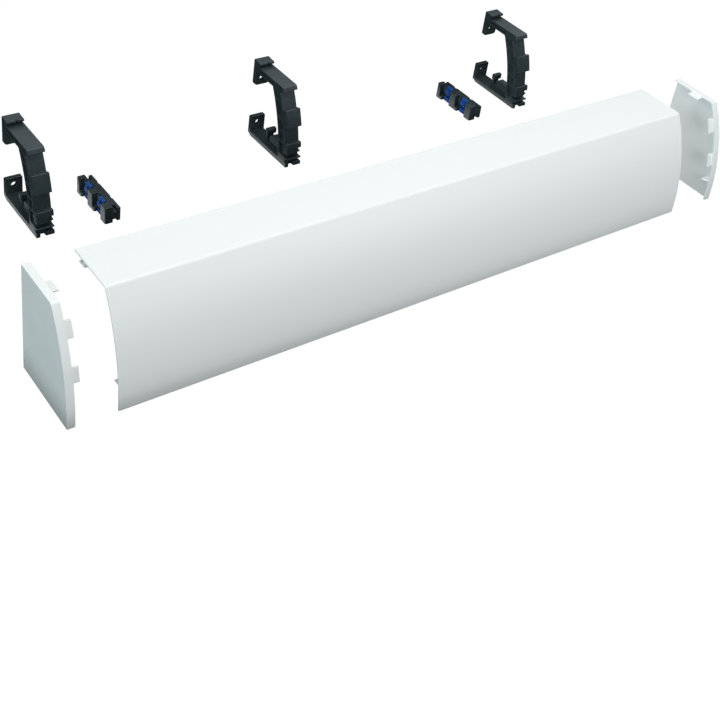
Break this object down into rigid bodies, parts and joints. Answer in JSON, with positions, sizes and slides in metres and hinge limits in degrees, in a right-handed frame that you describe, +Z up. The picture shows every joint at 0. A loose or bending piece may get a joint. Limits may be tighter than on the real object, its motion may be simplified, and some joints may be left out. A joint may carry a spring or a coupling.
{
  "type": "clip-on cable duct",
  "caption": "Clip-on cable duct as an opened kit: curved cover, end caps, C-shaped wall brackets that the cover hooks onto, and saddle clips with soft liners.",
  "frame": {"origin": "middle of the laid-out kit on the surface that it stands on", "axes": "+X along the duct to the right, -Y to the room side, +Z up"},
  "size_m": [0.8464, 0.3578, 0.12],
  "materials": {
    "white_plastic": "satin extruded and moulded white plastic",
    "black_plastic": "fine matte black moulded plastic",
    "blue_rubber": "soft matte blue liner"
  },
  "bodies": {
    "cover": {"cover": "white_plastic"},
    "end_cap_left": {"end_cap_left": "white_plastic"},
    "end_cap_right": {"end_cap_right": "white_plastic"},
    "bracket_left": {"bracket_left": "black_plastic"},
    "bracket_mid": {"bracket_mid": "black_plastic"},
    "bracket_right": {"bracket_right": "black_plastic"},
    "clip_left": {"clip_left": "black_plastic", "liner_left_rear": "blue_rubber", "liner_left_front": "blue_rubber"},
    "clip_right": {"clip_right": "black_plastic", "liner_right_rear": "blue_rubber", "liner_right_front": "blue_rubber"}
  },
  "joints": [
    {"name": "bracket_left_slide", "type": "slide", "parent": "cover", "child": "bracket_left", "axis": [0, -0.9983, 0.0575], "range_m": [0, 0.26093]},
    {"name": "bracket_mid_slide", "type": "slide", "parent": "cover", "child": "bracket_mid", "axis": [0, -0.9984, 0.0563], "range_m": [0, 0.26632]},
    {"name": "bracket_right_slide", "type": "slide", "parent": "cover", "child": "bracket_right", "axis": [-0.0306, -0.9979, 0.0575], "range_m": [0, 0.26105]},
    {"name": "cap_left_slide", "type": "slide", "parent": "cover", "child": "end_cap_left", "axis": [1, 0, 0], "range_m": [0, 0.0418]},
    {"name": "cap_right_slide", "type": "slide", "parent": "cover", "child": "end_cap_right", "axis": [-1, 0, 0], "range_m": [0, 0.0578]},
    {"name": "clip_left_slide", "type": "slide", "parent": "cover", "child": "clip_left", "axis": [-0.2112, -0.9757, 0.0591], "range_m": [0, 0.25378]},
    {"name": "clip_right_slide", "type": "slide", "parent": "cover", "child": "clip_right", "axis": [0.1894, -0.9802, 0.0576], "range_m": [0, 0.26025]}
  ]
}
